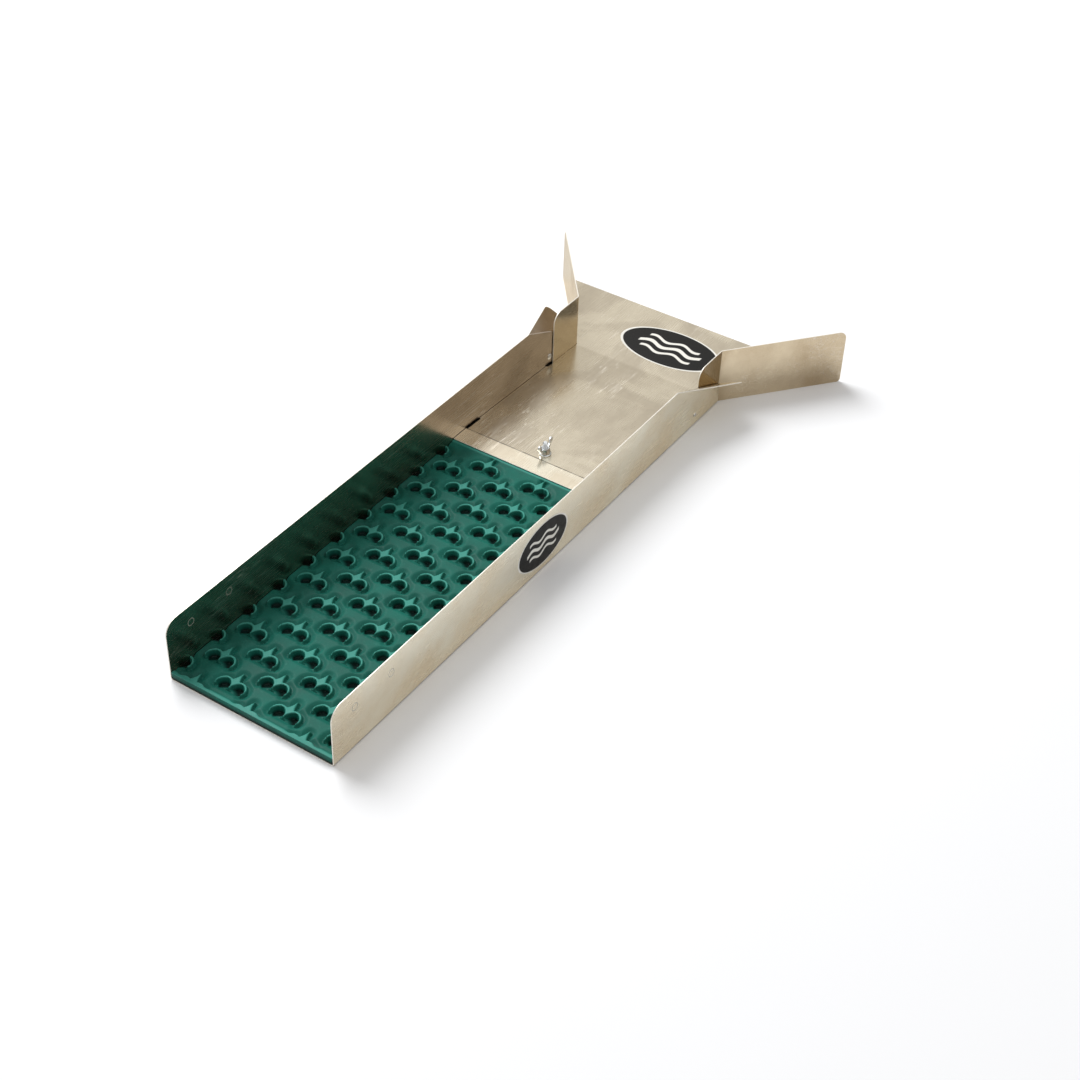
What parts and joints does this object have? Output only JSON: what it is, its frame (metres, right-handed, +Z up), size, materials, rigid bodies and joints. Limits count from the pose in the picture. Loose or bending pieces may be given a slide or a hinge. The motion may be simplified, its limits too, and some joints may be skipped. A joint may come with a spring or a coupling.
{
  "type": "sluice box",
  "caption": "Stream sluice box: an open metal trough with a green pocketed rubber mat and a lift-off flared inlet header held by a stud and wing nut.",
  "frame": {"origin": "on the ground under the middle of the whole box, half way along its length and across its width", "axes": "+Z up, +Y upstream towards the flared inlet, X across the flow"},
  "size_m": [0.3926, 0.8356, 0.07],
  "materials": {
    "trough": "mill-finish stainless sheet, cloudy and lightly scratched",
    "mat": "satin moulded rubber",
    "header_floor": "mill-finish stainless sheet, cloudy and lightly scratched",
    "wing_left": "mill-finish stainless sheet, cloudy and lightly scratched",
    "wing_right": "mill-finish stainless sheet, cloudy and lightly scratched",
    "stud": "bright zinc plating",
    "washer": "bright zinc plating",
    "wing_nut": "bright zinc plating",
    "locating_rivets": "plain",
    "wall_sticker": "printed vinyl, black oval with a plain wave pattern",
    "floor_sticker": "printed vinyl, black oval with a plain wave pattern"
  },
  "bodies": {
    "trough": {"trough": "trough", "stud": "stud", "locating_rivets": "locating_rivets", "wall_sticker": "wall_sticker"},
    "mat": {"mat": "mat"},
    "header": {"header_floor": "header_floor", "wing_left": "wing_left", "wing_right": "wing_right", "floor_sticker": "floor_sticker"},
    "washer": {"washer": "washer"},
    "wing_nut": {"wing_nut": "wing_nut"}
  },
  "joints": [
    {"name": "mat_pull", "type": "slide", "parent": "trough", "child": "mat", "axis": [0, -1, 0], "range_m": [0, 0.48]},
    {"name": "header_lift", "type": "slide", "parent": "trough", "child": "header", "axis": [0, 0, 1], "range_m": [0, 0.1]},
    {"name": "nut_travel", "type": "slide", "parent": "header", "child": "washer", "axis": [0, 0, 1], "range_m": [0, 0.0142]},
    {"name": "nut_turn", "type": "hinge", "parent": "washer", "child": "wing_nut", "pos_m": [0, 0.0812, 0.0129], "axis": [0, 0, 1], "range_deg": [0, 5112]}
  ],
  "couplings": [
    {"joint": "nut_turn", "follows": "nut_travel", "rad_per_m": 6283.2}
  ]
}
